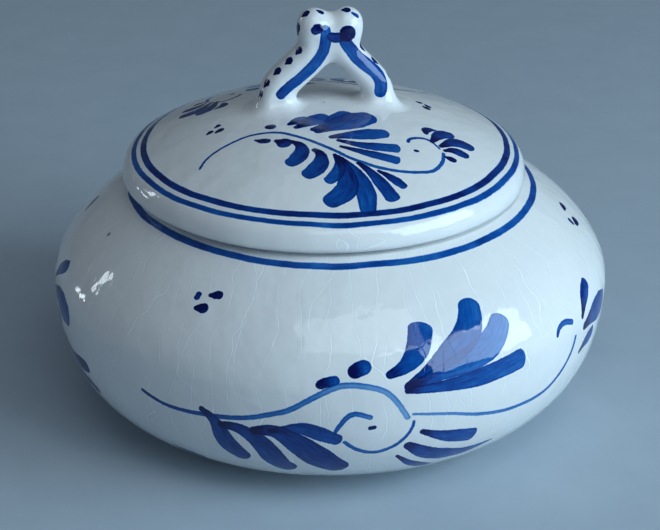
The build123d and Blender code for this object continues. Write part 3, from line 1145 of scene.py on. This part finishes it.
def upright_cracks(b, place):
    """Long cracks that climb the belly: two families of wandering lines of longitude."""
    x, y, _ = place.parts()
    run = x.math("ARCTAN2", 0.0 - y) * 68.0      # millimetres round the belly
    line, shade_beside = 0.0, 0.0
    # for each family: how far apart, how much they drift, how many of them show
    for number, (apart, drift, seen) in enumerate(((6.5, 13.0, 0.31), (14.0, 24.0, 0.42))):
        moved = place.vector("ADD", (31.0 * number, 7.0, 90.0 * number))
        wide = (b.noise(moved, 0.045, 1.0) - 0.5) * drift
        close = (b.noise(moved, 0.16, 1.0, 0.5) - 0.5) * 3.0
        edge = b.node("ShaderNodeTexVoronoi",
                      dict(voronoi_dimensions="1D", feature="DISTANCE_TO_EDGE"),
                      {"W": (run + wide + close) / apart, "Scale": 1.0}) * apart
        there = b.noise(moved, 0.06, 1.0).step(seen, seen + 0.12)
        # the line, later painted lighter as a highlight, and a band beside it, later painted
        # darker as shade
        line = (edge.step(0.03, 0.15, 1.0, 0.0) * there).most(line)
        shade_beside = (edge.step(0.12, 0.5, 1.0, 0.0) * there).most(shade_beside)
    return line, shade_beside


WHITES = [(0.0, (0.69, 0.715, 0.735)), (1.0, (0.825, 0.84, 0.85))]
# the first two colours paint each crack line lighter, a painted highlight, and the band beside it
# darker, painted shade
CRACK_HIGHLIGHT, CRACK_SHADE, IRON = (0.93, 0.97, 1.0, 1), (0.45, 0.49, 0.52, 1), (0.20, 0.12, 0.07, 1)
NO_IRON = (0, 0, -50)    # a place off the pot


def painted_glaze(name, cracks, crack_kind=net_cracks, rings=(), middle=0.0, above=0.0,
                  iron=NO_IRON):
    material, b = Build.material(name)
    place = b.millimetres()

    # the blue: where strokes cross, the deepest counts and the others add a little
    deepest, total = 0.0, 0.0
    wander = (b.noise(place, 0.9, 2.0) - 0.5) * 0.34
    layers = [brush_layer(b, number, wander) for number in range(LAYERS)]
    if rings:
        layers.append(bands_layer(b, place, rings, middle, above))
    for amount in layers:
        deepest, total = amount.most(deepest), amount + total
    patches = 0.86 + 0.28 * b.noise(place, 0.35, 2.0)
    blue = (deepest + (total - deepest) * 0.10) * patches

    # the white, its cracks with a painted highlight along each line and painted shade beside it,
    # and one speck of iron
    line, shade_beside = (part * cracks for part in crack_kind(b, place))
    mottle = b.noise(place, 0.5, 3.0, 0.6)
    white = b.ramp(b.noise(place, 0.028, 3.0, 0.6) * 0.75 + mottle * 0.25, WHITES)
    # painted shade beside each crack, then a painted highlight along the crack line
    white = b.mix(line * 0.9, b.mix(shade_beside * 0.15, white, CRACK_SHADE), CRACK_HIGHLIGHT)
    speck = place.vector("DISTANCE", iron, out=1).step(0.45, 0.85, 1.0, 0.0)
    colour = b.mix(1.0, b.mix(speck * 0.8, white, IRON), b.ramp(blue, BLUES), "MULTIPLY")

    # the gloss
    waves = b.noise(place, 0.10, 2.0) + b.noise(place, 0.42, 1.0) * 0.12
    bump = b.node("ShaderNodeBump", {}, {
        "Height": waves - line * 0.035 + speck * 0.05, "Distance": 0.45 * MM, "Strength": 1.0})
    b.surface(Base_Color=colour, Roughness=0.055 + line * 0.12 + mottle * 0.03, IOR=1.46,
              Normal=bump)
    print(name, "has", len(material.node_tree.nodes), "nodes")
    return material


# rings: radius, width and how much blue; iron: millimetres right, back and up
bowl_glaze = painted_glaze("painted_glaze_bowl", 1.0, upright_cracks, [(53.8, 1.6, 0.62)],
                           middle=0.6, above=seat - 8, iron=(-57.4, -22.9, 57.2))
lid_glaze = painted_glaze("painted_glaze_lid", 0.55, rings=[(48.2, 1.6, 0.82), (50.8, 1.3, 0.64)],
                          middle=LID_MIDDLE, above=seat + 6)
handle_glaze = painted_glaze("painted_glaze_handle", 0.25)


# %% [markdown]
# ## The bare clay
#
# The foot ring is glazed on its sides and bare where it stands. Fired clay is a warm
# buff with fine grit, dull next to the glaze, and the glaze ends above it in a soft,
# slightly uneven line.

# %% The foot's material
def foot_material():
    material, b = Build.material("bare_clay_foot")
    place = b.millimetres()
    height = place.parts()[2]
    bare = (height + (b.noise(place, 0.3, 2.0) - 0.5) * 0.9).step(0.9, 1.3, 1.0, 0.0)
    grit = b.noise(place, 3.0, 4.0, 0.7)
    clay = b.ramp(grit, [
        (0.25, (0.40, 0.31, 0.22)), (0.55, (0.62, 0.53, 0.42)), (0.8, (0.74, 0.67, 0.57))])
    white = b.ramp(b.noise(place, 0.2, 3.0), WHITES)
    bump = b.node("ShaderNodeBump", {}, {
        "Height": grit * bare, "Distance": 0.3 * MM, "Strength": 0.8})
    b.surface(Base_Color=b.mix(bare, white, clay), Roughness=0.07 + bare * 0.7, IOR=1.5,
              Normal=bump)
    return material


foot_clay = foot_material()


# %% [markdown]
# ## Riding on the frame
#
# Each skin takes the place of the CAD nodes it stands for and rides on their body, so
# the lid and its handle lift together and the bowl stays with its foot.

# %% Dress the pieces and give them to the frame
for piece, material, slot, body, nodes in (
        (bowl, bowl_glaze, "painted_glaze", "bowl", ["bowl_body"]),
        (foot, foot_clay, "bare_clay", "bowl", ["foot_ring"]),
        (lid, lid_glaze, "painted_glaze", "lid", ["lid_dome", "lid_flange"]),
        (handle, handle_glaze, "painted_glaze", "lid",
         ["handle_strap_left", "handle_strap_right", "handle_knob_left", "handle_knob_right"])):
    piece.data.materials.clear()
    piece.data.materials.append(material)
    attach(piece, body)
    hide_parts(*nodes)
bpy.data.materials.remove(blank)
print("pieces on the frame")


# %% [markdown]
# ## Floor, light and camera
#
# A plain pale floor, one broad low window of light from the right and front, weak ones
# from the left and above, and a pale room. A glossy pot shows its lights, so the panels
# stand where their reflections should lie: the big one mirrors in the right of the belly.

# %% Floor
def make_floor():
    size, low = 3.0, -0.05 * MM      # just under the foot, so that the two never share a plane
    mesh = bpy.data.meshes.new("floor")
    corners = ((-size, -size), (size, -size), (size, size), (-size, size))
    mesh.from_pydata([(x, y, low) for x, y in corners], [], [(0, 1, 2, 3)])
    material, b = Build.material("pale_floor")
    place = b.node("ShaderNodeTexCoord", {}, {}, OBJECT_PLACE)
    tone = b.ramp(b.noise(place, 60.0, 4.0, 0.6),
                  [(0.3, (0.39, 0.47, 0.55)), (0.7, (0.42, 0.50, 0.58))])
    b.surface(Base_Color=tone, Roughness=0.9)
    mesh.materials.append(material)
    return new_object("floor", mesh)


make_floor()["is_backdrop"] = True


# %% Lights
POT_MIDDLE = Vector((0, 0, 0.05))


def panel(name, compass, rise, away, width, height, watts, colour):
    """A flat light that looks at the pot, from degrees round and degrees up."""
    c, r = math.radians(compass), math.radians(rise)
    out = Vector((math.sin(c) * math.cos(r), -math.cos(c) * math.cos(r), math.sin(r)))
    light = bpy.data.lights.new(name, "AREA")
    light.shape, light.size, light.size_y = "RECTANGLE", width, height
    light.energy, light.color = watts, colour
    lamp = new_object(name, light)
    lamp.location = POT_MIDDLE + out * away
    lamp.rotation_euler = out.to_track_quat("Z", "Y").to_euler()


panel("window_right", 63, 20.5, 1.1, 0.90, 0.67, 12.6, (0.66, 0.875, 1.0))
panel("window_rail", 44, 39, 1.1, 0.9, 0.04, 0.6, (0.76, 0.90, 1.0))
panel("front_soft", 16, 54, 1.3, 0.9, 0.6, 3.2, (0.84, 0.93, 1.0))
panel("window_left", -114.5, 18.5, 1.6, 0.13, 0.36, 1.15, (0.80, 0.92, 1.0))
panel("window_left_low", -117, 2, 1.6, 0.21, 0.09, 0.5, (0.80, 0.92, 1.0))

world = bpy.data.worlds.new("pale_room")
world.use_nodes = True
room = world.node_tree.nodes["Background"].inputs
room["Color"].default_value, room["Strength"].default_value = (0.66, 0.82, 1.0, 1), 0.105
bpy.context.scene.world = world

# %% Camera
FROM_ABOVE, AWAY, LOOK_AT = math.radians(25.3), 0.55, 0.0375
camera_data = bpy.data.cameras.new("camera")
camera_data.lens, camera_data.sensor_width = 109.6, 36.0
camera = new_object("camera", camera_data)
camera.location = (0, -AWAY * math.cos(FROM_ABOVE), LOOK_AT + AWAY * math.sin(FROM_ABOVE))
camera.rotation_euler = (math.pi / 2 - FROM_ABOVE, 0, 0)
bpy.context.scene.camera = camera
bpy.context.scene.view_settings.view_transform = "Standard"

# %% [markdown]
# ## Measure and finish
#
# The skins must stay inside the measured box, so both boxes are printed side by side.

# %% Measure and finish
def plain(box):
    return [[float(c) for c in corner] for corner in box]


{"cad": plain(cad_box), "visual": plain(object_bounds())}
print("cad:", plain(cad_box), "visual:", plain(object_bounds()))
